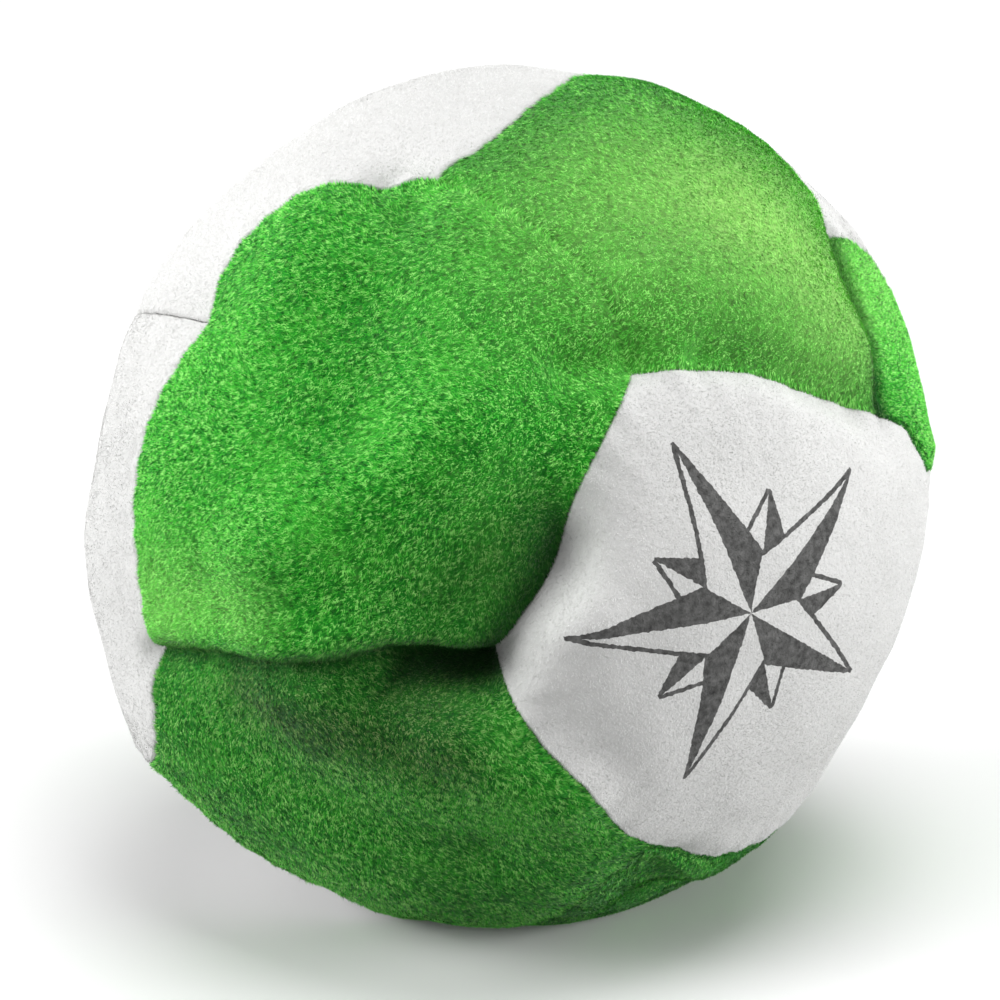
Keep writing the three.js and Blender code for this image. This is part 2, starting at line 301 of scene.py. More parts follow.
CORNER_ROWS = {  # row: its angle from the axis, its turn about it, and how each corner wandered:
    # degrees away from the axis, degrees anticlockwise as seen from the front, radii outwards
    "front": (
        FRONT_ANGLE,
        0,
        [(-0.5, 1, 0), (-1, -1.5, -0.01), (-0.5, -1.5, 0), (12.5, 1, -0.08), (-3, -1, 0)],
    ),
    "front_middle": (
        MIDDLE_ANGLE,
        0,
        [(-6.5, 5, 0), (11, 8.5, 0), (0, 4, 0), (2, -2, -0.04), (-20, 14.5, 0.02)],
    ),
    "rear_middle": (
        math.pi - MIDDLE_ANGLE,
        TURN_STEP / 2,
        [(-7.5, -1, -0.02), (-1, -8, 0.08), (-2, 2, 0), (1, -3, 0), (-3, -3, 0.015)],
    ),
    "rear": (
        math.pi - FRONT_ANGLE,
        TURN_STEP / 2,
        [(2, 3, 0.01), (-1, 2, 0), (0, -3, -0.01), (-2, 1, 0), (1, 3, 0)],
    ),
}


def polar(away, turn):
    """The direction at an angle from the front axis, turned anticlockwise about it."""
    return np.array(
        [math.sin(away) * math.cos(turn), -math.cos(away), math.sin(away) * math.sin(turn)]
    )


corners = {}  # (row, number) to (direction from the ball's middle, radius)
for row, (row_angle, row_turn, shifts) in CORNER_ROWS.items():
    for k, (away, anticlockwise, out) in enumerate(shifts):
        turn = FIRST_TURN + row_turn + k * TURN_STEP + math.radians(anticlockwise)
        direction = polar(row_angle + math.radians(away), turn)
        corners[row, k] = (direction, BALL_RADIUS * (1 + out) - CORNER_DRAW_IN)
print(len(corners), "corners")

# %% [markdown]
# ## Seams as curves
#
# Each seam runs over the ball from corner to corner and may bow to its left. At every place it has
# three directions of its own: out of the bag, along, and left. Panels, thread and puckers all ask
# the same seam, so they fit each other without being fitted. NumPy works on all places at once.

# %% Helpers for many directions at once
SETTLE_BLEND = 2.5 * MM  # height over which "outwards" turns from straight down to the radius


def unit(vectors):
    return vectors / np.linalg.norm(vectors, axis=-1, keepdims=True)


def smooth_step(values, low, high):
    share = np.clip((values - low) / (high - low), 0, 1)
    return share * share * (3 - 2 * share)


def between(first, second, share):
    """Directions on the great circle from one to the other."""
    angle = np.arccos(np.clip((first * second).sum(-1), -1, 1))
    return unit(
        np.sin((1 - share) * angle)[..., None] * first + np.sin(share * angle)[..., None] * second
    )


def settled(places):
    """What would lie below the floor moves up onto it, along the ball's radius."""
    scale = np.minimum(1, CENTRE_HEIGHT / np.maximum(-places[:, 2], 1e-9))
    return places * scale[:, None]


def outwards(places):
    """Out of the bag: along the radius, but straight down where the bag lies on the floor."""
    flat = 1 - smooth_step(places[:, 2] + CENTRE_HEIGHT, 0, SETTLE_BLEND)
    return unit(unit(places) * (1 - flat)[:, None] + np.array([0, 0, -1]) * flat[:, None])


# %% A seam
TANGENT_SHARE = 0.01  # of a seam, to either side of a place where its direction is taken


class Seam:
    def __init__(self, start, end, bow):
        self.ends = (start, end)
        self.bow = bow
        self.left = unit(np.cross(corners[start][0], corners[end][0]))

    def place(self, share):
        (from_direction, from_radius), (to_direction, to_radius) = (corners[c] for c in self.ends)
        belly = 4 * share * (1 - share)
        radius = from_radius + (to_radius - from_radius) * share
        radius = radius + (CORNER_DRAW_IN - SEAM_DRAW_IN) * belly
        line = between(from_direction, to_direction, share)
        return settled(unit(line + self.left * (self.bow * belly)[:, None]) * radius[:, None])

    def axes(self, share):
        """Out of the bag, left and along."""
        ahead = self.place(np.minimum(share + TANGENT_SHARE, 1))
        behind = self.place(np.maximum(share - TANGENT_SHARE, 0))
        out = outwards(self.place(share))
        left = unit(np.cross(out, ahead - behind))
        return out, left, np.cross(left, out)

    def length(self):
        return float(np.linalg.norm(np.diff(self.place(np.linspace(0, 1, 25)), axis=0), axis=1).sum())


# %% The thirty seams
SEAM_RUNS = {  # first corner's row, last corner's row, how far along the last row, bow shares
    "front_ring": ("front", "front", 1, [0, -0.04, -0.2, -0.2, 0]),
    "front_spoke": ("front", "front_middle", 0, [-0.07, -0.03, -0.04, 0, 0.08]),
    "zigzag_down": ("front_middle", "rear_middle", 0, [-0.15, 0.08, 0, 0, -0.06]),
    "zigzag_up": ("rear_middle", "front_middle", 1, [-0.05, 0, 0, 0.06, 0.06]),
    "rear_spoke": ("rear_middle", "rear", 0, [0.02, 0, -0.02, 0.01, 0]),
    "rear_ring": ("rear", "rear", 1, [0, -0.02, 0.01, -0.03, 0.02]),
}
seams = {}
for run, (first_row, last_row, step, bow_shares) in SEAM_RUNS.items():
    for k, bow in enumerate(bow_shares):
        start, end = (first_row, k), (last_row, (k + step) % SIDES)
        seams[start, end] = Seam(start, end, bow)
lengths = [seam.length() / MM for seam in seams.values()]
print(len(seams), "seams from", round(min(lengths), 1), "to", round(max(lengths), 1), "mm long")

# %% [markdown]
# ## A panel as a surface
#
# A panel is five sides and a crown. A place on it is given by its side, a share along that side
# and a rise: 0 at the panel's middle and 1 where the suede starts to roll into the seam. The crown
# is nearly round and drops late, as cloth does over pellets. Past the rim the suede rolls through a
# quarter circle and hangs inside the bag as the seam allowance. A depth below the outer face gives
# the same place on the backing or on the inside, so the cloth has its real thickness.

# %% Suede, as it is cut and sewn
SUEDE_THICKNESS = 0.8 * MM
NAP_DEPTH = 0.15 * MM  # of the fibres, on a backing that takes the rest of the thickness
FOLD_RADIUS = 0.25 * MM  # of the backing's roll at a seam
LIP_GAP = 0.06 * MM  # between two backings where their rolls meet
SEAM_GAP = 0.3 * MM  # between their allowances, where the thread runs
GAP_DEPTH = 0.4 * MM  # below the rolls, over which the one widens to the other
SEAM_ALLOWANCE = 3 * MM
FOLD_START = FOLD_RADIUS + LIP_GAP / 2
CROWN_POWER = 2.6


class Side:
    """A seam, run so that the panel lies to its left."""

    def __init__(self, start, end):
        self.reverse = (start, end) not in seams
        self.seam = seams[(end, start) if self.reverse else (start, end)]

    def own_share(self, share):
        return 1 - share if self.reverse else share

    def place(self, share):
        return self.seam.place(self.own_share(share))

    def axes(self, share):
        out, left, along = self.seam.axes(self.own_share(share))
        return (out, -left, -along) if self.reverse else (out, left, along)


# %% The panel's surface
class Panel:
    def __init__(self, ring, crown):
        self.sides = [Side(ring[k], ring[(k + 1) % SIDES]) for k in range(SIDES)]
        self.middle = unit(sum(corners[corner][0] for corner in ring))
        self.crown_radius = BALL_RADIUS * (1 + crown)
        self.mitres = [self.lean(k) for k in range(SIDES)]

    def lean(self, k):
        """How far the two ends of a side lean along it, so that they meet their neighbours."""
        leans = []
        for share, other, other_share in ((0, k - 1, 1), (1, (k + 1) % SIDES, 0)):
            _, left, along = (axis[0] for axis in self.sides[k].axes(np.array([share])))
            _, other_left, _ = (axis[0] for axis in self.sides[other].axes(np.array([other_share])))
            leans.append(float((left + other_left) @ along / (1 + left @ other_left)))
        return leans

    def beside(self, k, share, inset, depth):
        """A place so far into the panel from the seam, and so deep into the bag."""
        out, left, along = self.sides[k].axes(share)
        first, last = self.mitres[k]
        inset = np.broadcast_to(inset, share.shape)[:, None]
        mitre = (first + (last - first) * share)[:, None]
        return self.sides[k].place(share) - out * depth + left * inset + along * inset * mitre

    def face(self, k, share, rise, depth):
        rim = self.beside(k, share, FOLD_START, 0)
        rim_radius = np.linalg.norm(rim, axis=1)
        crown = (self.crown_radius - rim_radius) * (1 - rise**CROWN_POWER)
        direction = between(self.middle, unit(rim), rise)
        place = settled(direction * (rim_radius + crown)[:, None])
        return place - outwards(place) * depth


# %% The twelve panels
CROWN_SHARES = {
    "front": [-0.02],
    "front_ring": [0, 0.01, -0.01, -0.03, 0.03],
    "rear_ring": [-0.03, -0.03, -0.01, 0.01, 0],
    "rear": [0],
}


def row_of(row):
    return [(row, k) for k in range(SIDES)]


panels = {"front_panel": Panel(row_of("front"), CROWN_SHARES["front"][0])}
for k in range(SIDES):
    following = (k + 1) % SIDES
    ring = [("front", following), ("front", k), ("front_middle", k)]
    ring += [("rear_middle", k), ("front_middle", following)]
    panels[f"front_ring_panel_{k + 1}"] = Panel(ring, CROWN_SHARES["front_ring"][k])
for k in range(SIDES):
    preceding = (k - 1) % SIDES
    ring = [("rear_middle", k), ("front_middle", k), ("rear_middle", preceding)]
    ring += [("rear", preceding), ("rear", k)]
    panels[f"rear_ring_panel_{k + 1}"] = Panel(ring, CROWN_SHARES["rear_ring"][k])
panels["rear_panel"] = Panel(row_of("rear")[::-1], CROWN_SHARES["rear"][0])
print(len(panels), "panels")

# %% [markdown]
# ## Slack, pellets and puckers
#
# A sewn bag is not a smooth ball. The cloth is slack, so it lies in broad, soft ridges and hollows.
# Pellets press small lumps into it. And each stitch pulls the cloth in a little, so seams pucker.
# All are one number: how far a place moves along the ball's radius. Slack cloth also slides over
# the ball, which takes the seams along. Both depend only on the direction from the ball's middle,
# so neighbouring panels, and the two faces of one panel, move together. A cloth simulation would
# give folds of its own, and this lesson wants those of the photograph, so they are in tables. The
# tables name what a viewer at the camera sees: the print is the printed panel, the big panel is on
# its left, the top panel above it, the lower panel below.

# %% Ridges and hollows of the slack cloth
FORMS = {  # from one place to another, as (away, turn) in degrees; half its width; its height
    "dimple at the print's top corner": ((38, 110), (43, 122), 1.4 * MM, -1.1 * MM),
    "roll of the top panel over the print": ((34, 96), (31, 48), 1.2 * MM, -0.9 * MM),
    "swell of the top panel": ((45, 98), (39, 56), 3.2 * MM, 0.9 * MM),
    "shoulder of the big panel": ((84, 126), (80, 140), 3.0 * MM, 0.6 * MM),
    "dip beside the shoulder": ((73, 119), (80, 118), 1.9 * MM, -1.0 * MM),
    "ridge of the big panel": ((66, 171), (47, 142), 3.4 * MM, 1.5 * MM),
    "hollow of the big panel": ((66, 136), (60, 150), 4.0 * MM, -1.5 * MM),
    "overhang of the big panel": ((52, -178), (62, -174), 4.6 * MM, 1.3 * MM),
    "slope down to the print": ((44, 174), (36, 150), 4.6 * MM, -1.9 * MM),
    "tuck beside the print": ((35, 178), (31, 158), 2.0 * MM, -1.1 * MM),
    "hole at the print's left corner": ((50, -173), (38, -174), 2.0 * MM, -2.9 * MM),
    "ridge of the lower panel": ((43, -160), (36, -136), 2.4 * MM, 1.2 * MM),
    "hollow of the lower panel": ((75, -163), (52, -133), 4.4 * MM, -1.4 * MM),
    "print's left hollow": ((29, 152), (29, 160), 1.8 * MM, -0.5 * MM),
    "print's left ridge": ((27, 170), (24, 173), 2.0 * MM, 0.7 * MM),
    "print's lower hollow": ((30, -160), (28, -140), 2.4 * MM, -0.3 * MM),
    "bulge low on the left": ((114, -175), (106, -160), 4.5 * MM, 0.8 * MM),
    "notch under the print": ((46, -98), (60, -88), 3.0 * MM, -1.2 * MM),
    "swell at the top": ((103, 86), (111, 102), 3.5 * MM, 0.6 * MM),
    "flat at the right": ((47, -24), (48, -8), 3.0 * MM, -0.4 * MM),
    "flat right of the crease": ((64, 32), (56, 17), 3.0 * MM, -0.4 * MM),
    "flat low on the left": ((97, -141), (86, -125), 3.5 * MM, -0.5 * MM),
    "flat at the top": ((90, 68), (84, 60), 3.0 * MM, -0.2 * MM),
    "tuck behind the print's right edge": ((55, -32), (56, 2), 2.6 * MM, -1.2 * MM),
    "swell low on the right": ((49, -64), (47, -55), 3.0 * MM, 0.8 * MM),
    "tuck behind the print's lower edge": ((60, -84), (58, -48), 2.8 * MM, -1.2 * MM),
}
SLACK_WAVE = 10 * MM
SLACK_HEIGHT = 0.3 * MM
PELLET_WAVE = 3.4 * MM
PELLET_HEIGHT = 0.12 * MM

# %% Creases, and slides of the cloth over the ball
CREASES = {  # seam: depth at its first end and at its last, half width, shade painted along it, its reach
    (("front", 0), ("front", 1)): (0, 0.7 * MM, 1.6 * MM, 0, MM),
    (("front", 1), ("front_middle", 1)): (0.9 * MM, 0.9 * MM, 1.0 * MM, 0.9, 0.75 * MM),
    (("front", 4), ("front_middle", 4)): (0.3 * MM, 1.2 * MM, 0.6 * MM, 1.0, 0.9 * MM),
    (("rear_middle", 0), ("rear", 0)): (0.2 * MM, 0.2 * MM, 1.2 * MM, 0, MM),
    (("front", 0), ("front_middle", 0)): (-0.2 * MM, -0.5 * MM, 2.8 * MM, 0, MM),  # stands proud
}
FOLD_DEPTHS = (1.0 * MM, 3.2 * MM)  # of a form, between which the shade painted in its fold grows from none to full
SLIDES = {  # (away, turn) in degrees: half its width, its slide away from the axis, anticlockwise
    "print's left corner": ((36, 178), 4.5 * MM, 0.3 * MM, 1.7 * MM),
    "seam above that corner": ((32, 160), 3.2 * MM, -0.9 * MM, 0),
    "print's lower left": ((34, -136), 3.5 * MM, -0.9 * MM, 0),
    "print's top": ((32, 86), 4.5 * MM, 0.5 * MM, -0.2 * MM),
    "print's upper right": ((43, 19), 2.4 * MM, -0.4 * MM, -1.8 * MM),
    "print's right edge": ((46, 2), 6.0 * MM, 3.3 * MM, 0),
    "print's lower right edge": ((45, -66), 6.0 * MM, 2.4 * MM, 0),
    "big panel's top corner": ((74, 116), 3.0 * MM, 1.3 * MM, -1.1 * MM),
    "big panel's shoulder": ((94, 136), 4.5 * MM, 1.1 * MM, -0.2 * MM),
    "lower panel's left end": ((92, -165), 3.6 * MM, 1.7 * MM, 0.6 * MM),
    "top panel's far right": ((77, 51), 3.6 * MM, 1.7 * MM, -0.3 * MM),
}

# %% How far from a line over the ball
ARC_SHARES = np.linspace(0, 1, 6)
SEAM_SHARES = np.linspace(0, 1, 25)


def distance_to(line, directions):
    """How far each direction is from a line over the ball, and the share along it."""
    nearest = np.full(len(directions), np.inf)
    shares = np.zeros(len(directions))
    for n in range(len(line) - 1):
        run = line[n + 1] - line[n]
        along = np.clip((directions - line[n]) @ run / (run @ run), 0, 1)
        distance = np.linalg.norm(directions - line[n] - along[:, None] * run, axis=1)
        nearer = distance < nearest
        nearest[nearer] = distance[nearer]
        shares[nearer] = (n + along[nearer]) / (len(line) - 1)
    return nearest * BALL_RADIUS, shares


def over_the_ball(seam):
    return unit(seam.place(SEAM_SHARES))


def sum_of(table, directions):
    """The values of a table's rows in each direction, each row fading away from its line."""
    total = np.zeros(len(directions))
    for first, last, width, value in table.values():
        start, end = (polar(math.radians(away), math.radians(turn)) for away, turn in (first, last))
        distance, _ = distance_to(between(start, end, ARC_SHARES), directions)
        total += value * np.exp(-((distance / width) ** 2))
    return total


# %% How far the cloth moves outwards, and where shade is painted in its folds
def relief(directions):
    """How far the cloth moves outwards in each direction: forms, creases, slack and pellets."""
    moved = sum_of(FORMS, directions)
    for ends, (first_depth, last_depth, width, _, _) in CREASES.items():
        distance, share = distance_to(over_the_ball(seams[ends]), directions)
        depth = first_depth + (last_depth - first_depth) * share
        moved -= depth * np.exp(-((distance / width) ** 2))
    slack_scale, pellet_scale = BALL_RADIUS / SLACK_WAVE, BALL_RADIUS / PELLET_WAVE
    for i, direction in enumerate(directions):
        spot = Vector(direction)
        moved[i] += noise.noise(spot * slack_scale) * SLACK_HEIGHT
        moved[i] += noise.noise(spot * pellet_scale) * PELLET_HEIGHT
    return moved


def painted_shade_in_folds(directions, moved):
    """Painted shade, from 0 where none is painted to 1 in deep folds and along some creases."""
    crushed = smooth_step(-moved, *FOLD_DEPTHS)
    for ends, (_, _, _, most, reach) in CREASES.items():
        distance, _ = distance_to(over_the_ball(seams[ends]), directions)
        crushed = np.maximum(crushed, most * np.exp(-((distance / reach) ** 2)))
    return crushed


# %% How far the cloth slides
def slide(directions):
    """How far the slack cloth slides over the ball in each direction."""
    slid = np.zeros((len(directions), 3))
    for (away, turn), width, away_shift, turn_shift in SLIDES.values():
        middle = polar(math.radians(away), math.radians(turn))
        anticlockwise = unit(np.cross(middle, [0, 1, 0]))
        outer = np.cross(anticlockwise, middle)
        distance = np.linalg.norm(directions - middle, axis=1) * BALL_RADIUS
        fading = np.exp(-((distance / width) ** 2))
        slid += fading[:, None] * (outer * away_shift + anticlockwise * turn_shift)
    return slid


# %% Puckers along a stitched seam
PUCKER_HEIGHT = 0.14 * MM
PUCKER_REACH = 2.2 * MM  # from the seam into the panel
STITCH_PITCH = 2.4 * MM


def puckers(panel, k, share, inset):
    """How far a stitched seam pulls the cloth in, at a share along it and an inset from it."""
    seam = panel.sides[k].seam
    own_share = panel.sides[k].own_share(share)
    stitches = max(1, round(seam.length() / STITCH_PITCH))
    pull = 0.5 - 0.5 * np.cos(2 * math.pi * stitches * own_share)
    return -PUCKER_HEIGHT * pull * np.exp(-inset / PUCKER_REACH)


# %% [markdown]
# ## Lips
#
# Where a bag creases, one panel hangs over its neighbour. A lip says how far a panel swells out
# near one of its seams, and how far the neighbour gives way. The swell dies out away from that
# seam, and also towards the panel's own edge, so that the edges still meet.

# %% Which panels hang over which
LIP_REACH = 2.4 * MM
LIP_ROUND = 0.4 * MM  # from a panel's edge, over which its swell grows
LIPS = {  # (panel, seam): swell at the seam's first end and at its last
    ("front_ring_panel_1", ("front", 1), ("front_middle", 1)): (0.9 * MM, 1.0 * MM),
    ("front_ring_panel_2", ("front", 1), ("front_middle", 1)): (-0.6 * MM, -0.3 * MM),
}


def lips(name, points, insets):
    swollen = np.zeros(len(points))
    for (panel_name, *ends), (first_swell, last_swell) in LIPS.items():
        if panel_name == name:
            distance, share = distance_to(over_the_ball(seams[tuple(ends)]), unit(points))
            swell = first_swell + (last_swell - first_swell) * share
            from_edge = 1 - np.exp(-np.maximum(insets - LIP_GAP / 2, 0) / LIP_ROUND)
            swollen += swell * np.exp(-((distance / LIP_REACH) ** 2)) * from_edge
    return swollen


# %% [markdown]
# ## The mesh of one panel
#
# The face is a fan of rings round the panel's middle, one step a side more in each ring, which
# gives triangles of even size. Rings of equal length then carry the skin round the fold, down the
# allowance, and back up the inside. The order of points is the same for all twelve panels, so the
# triangles are worked out once.

# %% The fan and its rings
SIDE_STEPS = 44  # along one side
FOLD_STEPS = 5
ALLOWANCE_STEPS = 4
INSIDE_RINGS = 5


def fan_points(steps):
    """For each point of a fan: its side, its share along that side and its rise."""
    rows = [(0, 0.0, 0.0)]
    for n in range(1, steps + 1):
        rows += [(k, i / n, n / steps) for k in range(SIDES) for i in range(n)]
    k, share, rise = (np.array(column) for column in zip(*rows))
    return k, share, rise


def fan_triangles(steps):
    triangles = []
    first_of = [0] + [1 + SIDES * n * (n - 1) // 2 for n in range(1, steps + 1)]
    for n in range(1, steps + 1):
        inner, outer, inner_count = first_of[n - 1], first_of[n], max(1, SIDES * (n - 1))
        for k in range(SIDES):
            for i in range(n):
                here = outer + k * n + i
                following = outer + (k * n + i + 1) % (SIDES * n)
                below = inner + (k * (n - 1) + i) % inner_count
                triangles.append((below, here, following))
                if i < n - 1:
                    triangles.append((below, following, inner + (k * (n - 1) + i + 1) % inner_count))
    return triangles


def band_triangles(upper, lower, count):
    """Two rings of equal length, given by the numbers of their first points."""
    triangles = []
    for i in range(count):
        j = (i + 1) % count
        triangles.append((upper + i, lower + i, lower + j))
        triangles.append((upper + i, lower + j, upper + j))
    return triangles


# %% Triangles of a whole panel, face to inside
ring_count = SIDES * SIDE_STEPS
face_sides, face_shares, face_rises = fan_points(SIDE_STEPS)
face_count = len(face_sides)
ring_sides = np.repeat(np.arange(SIDES), SIDE_STEPS)
ring_shares = np.tile(np.arange(SIDE_STEPS) / SIDE_STEPS, SIDES)
inside_rises = np.linspace(1, 0, INSIDE_RINGS + 1)[1:-1]
rings_after_face = FOLD_STEPS + ALLOWANCE_STEPS + 2 + len(inside_rises)

skin_triangles = fan_triangles(SIDE_STEPS)
outer_triangle_count = len(skin_triangles)
upper = face_count - ring_count
for n in range(rings_after_face):
    lower = face_count + n * ring_count
    skin_triangles += band_triangles(upper, lower, ring_count)
    upper = lower
inside_middle = face_count + rings_after_face * ring_count
skin_triangles += [
    (upper + i, inside_middle, upper + (i + 1) % ring_count) for i in range(ring_count)
]
skin_triangles = np.array(skin_triangles)
outer_triangle_count += 2 * ring_count * FOLD_STEPS
print(len(skin_triangles), "triangles a panel before its nap")


# %% Points of a whole panel
def by_side(sides, make):
    """Places for points on five sides: make(k, on) gives those on side k."""
    places = np.empty((len(sides), 3))
    for k in range(SIDES):
        on = sides == k
        places[on] = make(k, on)
    return places


def skin_points(panel):
    """All points of a panel's cloth from the ball's middle, and each one's inset from the seam."""
    face = by_side(
        face_sides,
        lambda k, on: panel.face(k, face_shares[on], face_rises[on], NAP_DEPTH),
    )
    half_width = np.linalg.norm(face[-ring_count:] - face[0], axis=1).mean()
    rows = [face]
    insets = [FOLD_START + (1 - face_rises) * half_width]

    def add_ring(inset, make):
        rows.append(by_side(ring_sides, make))
        insets.append(np.full(ring_count, inset))

    def add_ring_beside(inset, depth):
        add_ring(inset, lambda k, on: panel.beside(k, ring_shares[on], inset, depth))

    wall_top = NAP_DEPTH + FOLD_RADIUS
    for n in range(1, FOLD_STEPS + 1):
        angle = n / FOLD_STEPS * math.pi / 2
        inset = FOLD_START - FOLD_RADIUS * math.sin(angle)
        add_ring_beside(inset, wall_top - FOLD_RADIUS * math.cos(angle))
    for n in range(1, ALLOWANCE_STEPS + 1):
        depth = n / ALLOWANCE_STEPS * SEAM_ALLOWANCE
        widened = smooth_step(depth, 0, GAP_DEPTH)
        add_ring_beside((LIP_GAP + (SEAM_GAP - LIP_GAP) * widened) / 2, wall_top + depth)
    add_ring_beside(SEAM_GAP / 2 + SUEDE_THICKNESS, wall_top + SEAM_ALLOWANCE)
    add_ring_beside(SEAM_GAP / 2 + SUEDE_THICKNESS, SUEDE_THICKNESS)
    for rise in inside_rises:
        rises = np.full(ring_count, rise)
        add_ring(
            FOLD_START + (1 - rise) * half_width,
            lambda k, on: panel.face(k, ring_shares[on], rises[on], SUEDE_THICKNESS),
        )
    rows.append((panel.middle * (panel.crown_radius - SUEDE_THICKNESS))[None])
    insets.append(np.array([half_width]))
    return np.concatenate(rows), np.concatenate(insets)


# %% Panels with slack, lumps and puckers
FLOOR_FADE = 2 * MM  # above the floor, over which lumps grow to their full height

all_sides = np.concatenate([face_sides, np.tile(ring_sides, rings_after_face), [0]])
all_shares = np.concatenate([face_shares, np.tile(ring_shares, rings_after_face), [0]])


def soft_skin(name, panel):
    """A panel's points, their insets from the seam, and the shade painted in its folds and creases."""
    points, insets = skin_points(panel)
    directions = unit(points)
    moved = relief(directions)
    crushed = painted_shade_in_folds(directions, moved)
    for k in range(SIDES):
        on = all_sides == k
        moved[on] += puckers(panel, k, all_shares[on], insets[on])
    moved += lips(name, points, insets)
    free = smooth_step(points[:, 2] + CENTRE_HEIGHT, NAP_DEPTH, NAP_DEPTH + FLOOR_FADE)[:, None]
    return points + (directions * moved[:, None] + slide(directions)) * free, insets, crushed


skins = {name: soft_skin(name, panel) for name, panel in panels.items()}
outlines = np.concatenate([points for points, _, _ in skins.values()])
offset = (np.array(cad_low) + np.array(cad_high)) / 2 - (outlines.min(0) + outlines.max(0)) / 2
BALL_MIDDLE = np.array([offset[0], offset[1], CENTRE_HEIGHT])
print("the ball's middle is at", np.round(BALL_MIDDLE / MM, 2), "mm")

# %% [markdown]
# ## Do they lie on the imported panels?
#
# The frame can't be changed, so a skin that strays from it without a reason would be wrong. A
# search tree on each packed panel gives how far our face is from it. Most of the cloth should be
# within half a millimetre: the depth of the nap, the lumps, and the facets of the CAD model. Only
# the folds that the photograph shows go further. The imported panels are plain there.

# %% Distance to the frame
EVERY = 7  # one in so many of a face's points is measured


def tree_of(cad_object):
    mesh = cad_object.data
    return BVHTree.FromPolygons(
        [vertex.co[:] for vertex in mesh.vertices], [list(face.vertices) for face in mesh.polygons]
    )


distances = []
for name, (points, _, _) in skins.items():
    tree = tree_of(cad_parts[name])
    distances += [tree.find_nearest(Vector(p + BALL_MIDDLE))[3] for p in points[:face_count:EVERY]]
half, most = np.percentile(distances, (50, 90)) / MM
print("half of the cloth is within", round(half, 2), "mm of its packed panel, nine tenths within")
print(round(most, 2), "mm, and the deepest fold", round(max(distances) / MM, 2), "mm from it")

# %% [markdown]
# ## Nap
#
# Brushed suede is a felt of fine fibres that stand up from the backing and lean the way they were
# last stroked. A bump map can't give the soft edge of such a cloth against a white panel or the
# background, so the fibres are geometry here. Each is one pointed blade, and a square millimetre
# of the green cloth has about a hundred and fifty. They stand on the face and on the roll of every
# seam, where they close the groove. Their lean wanders slowly, and from tuft to tuft. Fibres of
# like tone lie in small locks, drawn out along the way that the panel was combed.

# %% How each cloth's nap grows
NAPS = {
    "green": {
        "per_square_mm": 150,
        "length": 0.20 * MM,
        "width": 0.06 * MM,
        "lean": math.radians(64),
    },
    "white": {
        "per_square_mm": 100,
        "length": 0.10 * MM,
        "width": 0.045 * MM,
        "lean": math.radians(60),
    },
}
LENGTH_SPREAD_SHARE = 0.4
LEAN_SPREAD = math.radians(18)
ROLL_LENGTH_SHARE = 1.5  # longer on the rolls, where the fibres close over the seam
ROLL_FADE = (1.0 * FOLD_START, 2.0 * FOLD_START)  # insets, from the roll to the face
ROLL_PULL = 2  # of its fibres towards the seam
STROKE_WAVE = 7 * MM  # over which the lean's direction wanders
STROKE_SWING = 1.5  # how far it wanders, in radians
TUFT_WAVE = 0.9 * MM
TUFT_SWING = 1.2
STRAY = 0.6  # of single fibres from their tuft, in radians
LOCK_WIDTH = 0.14 * MM  # of a lock of fibres of like tone
LOCK_STRETCH = 0.6  # how much of a lock's length its noise leaves out
LOCK_CONTRAST = 1.3
TONE_CHANCE = 0.6  # how far single fibres leave the tone of their lock
MIDDLE_TONE = 0.5
TWIST = math.radians(35)


def mesh_normals(points, triangles):
    crossed = np.cross(
        points[triangles[:, 1]] - points[triangles[:, 0]],
        points[triangles[:, 2]] - points[triangles[:, 0]],
    )
    normals = np.zeros_like(points)
    for corner in range(3):
        np.add.at(normals, triangles[:, corner], crossed)
    return unit(normals + 1e-30), np.linalg.norm(crossed, axis=1) / 2


def roots_on(points, triangles, per_square_mm, random):
    """Places spread evenly over the triangles, their normals, and a way to read values there."""
    normals, areas = mesh_normals(points, triangles)
    count = int(areas.sum() / MM**2 * per_square_mm)
    chosen = triangles[random.choice(len(triangles), count, p=areas / areas.sum())]
    a, b = random.random(count), random.random(count)
    a, b = np.where(a + b > 1, 1 - a, a), np.where(a + b > 1, 1 - b, b)
    shares = np.stack([1 - a - b, a, b], 1)
    places = (points[chosen] * shares[:, :, None]).sum(1)
    normals = unit((normals[chosen] * shares[:, :, None]).sum(1))
    return places, normals, lambda values: (values[chosen] * shares).sum(1)


# %% Fibres from their roots
FIBRE_POINTS = 3
TIP_SHARES = np.array([0, 0, 1])  # how far up the fibre each of its points is


def stroke_angles(roots):
    """Which way each fibre leans, about its normal: slow strokes, and small tufts in them."""
    angles = np.empty(len(roots))
    for i, root in enumerate(roots):
        spot = Vector(root)
        stroke = STROKE_SWING * noise.noise(spot / STROKE_WAVE)
        angles[i] = stroke + TUFT_SWING * noise.noise(spot / TUFT_WAVE)
    return angles


def fibre_tones(roots, comb, random):
    """From 0, dark, to 1, bright: chance for each fibre, and locks drawn out along the comb."""
    tones = MIDDLE_TONE + TONE_CHANCE * random.uniform(-0.5, 0.5, len(roots))
    squeezed = (roots - LOCK_STRETCH * (roots @ comb)[:, None] * comb) / LOCK_WIDTH
    for i, spot in enumerate(squeezed):
        tones[i] += LOCK_CONTRAST * noise.noise(Vector(spot))
    return np.clip(tones, 0, 1)


